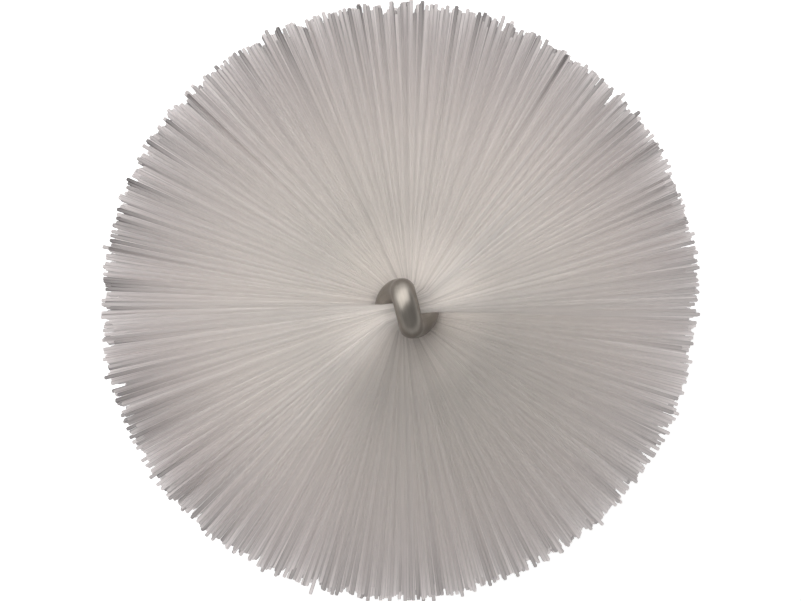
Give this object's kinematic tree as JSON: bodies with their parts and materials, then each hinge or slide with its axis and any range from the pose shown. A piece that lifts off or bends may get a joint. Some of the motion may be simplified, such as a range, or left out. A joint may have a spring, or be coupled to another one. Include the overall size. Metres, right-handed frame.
{
  "type": "pipe brush",
  "caption": "Pipe cleaning brush head: radial bristles pinched in a twisted wire stem with a bent-over tip, and a moulded socket at its base that screws onto a handle.",
  "frame": {"origin": "centre of the socket's open rear face, which is the bottom centre of the part", "axes": "+Z along the brush from the socket to the bend of the wire at the tip; +X and +Y are right and up in the picture, which looks at the tip along -Z"},
  "size_m": [0.0898, 0.0896, 0.2535],
  "materials": {
    "socket_plastic": "smooth moulded polypropylene, satin",
    "stainless_wire": "drawn stainless wire, satin",
    "bristle_filament": "translucent white polyester filament"
  },
  "bodies": {
    "root": {"handle_socket": "socket_plastic", "core_wire": "stainless_wire", "bristles_1": "bristle_filament", "bristles_2": "bristle_filament", "bristles_3": "bristle_filament", "bristles_4": "bristle_filament"}
  },
  "joints": []
}
